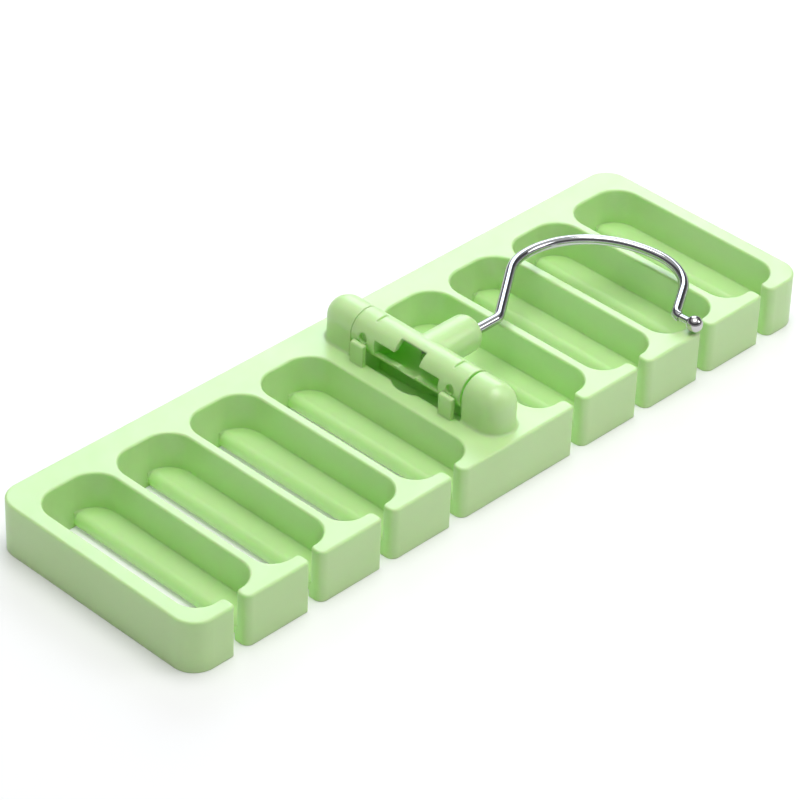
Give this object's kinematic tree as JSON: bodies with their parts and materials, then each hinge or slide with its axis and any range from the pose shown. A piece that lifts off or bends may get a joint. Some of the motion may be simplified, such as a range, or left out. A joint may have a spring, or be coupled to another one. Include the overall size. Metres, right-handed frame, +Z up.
{
  "type": "tie hanger",
  "caption": "Flat moulded tie rack with front-open slots and inner ledges, and a folding, swivelling wire hook with a ball tip on a central hinge.",
  "frame": {"origin": "middle of the rack's base, on the surface it lies on", "axes": "+X along the rack's length, toward the folded hook; -Y the front edge with the slits; +Z up"},
  "size_m": [0.3, 0.0979, 0.0367],
  "materials": {
    "mint_plastic": "satin moulded, light mint green",
    "chrome_wire": "bright plated",
    "chrome_ball": "bright plated",
    "plain_steel": "plain"
  },
  "bodies": {
    "rack": {"rack_moulding": "mint_plastic"},
    "knuckle": {"hinge_knuckle": "mint_plastic", "thrust_washer": "plain_steel"},
    "hook": {"hook_wire": "chrome_wire", "tip_ball": "chrome_ball", "push_nut": "plain_steel"}
  },
  "joints": [
    {"name": "fold", "type": "hinge", "parent": "rack", "child": "knuckle", "pos_m": [0, -0.0009, 0.0292], "axis": [0, -1, 0], "range_deg": [0, 90]},
    {"name": "swivel", "type": "hinge", "parent": "knuckle", "child": "hook", "pos_m": [0, -0.0009, 0.0279], "axis": [-1, 0, 0], "range_deg": [0, 20]}
  ]
}
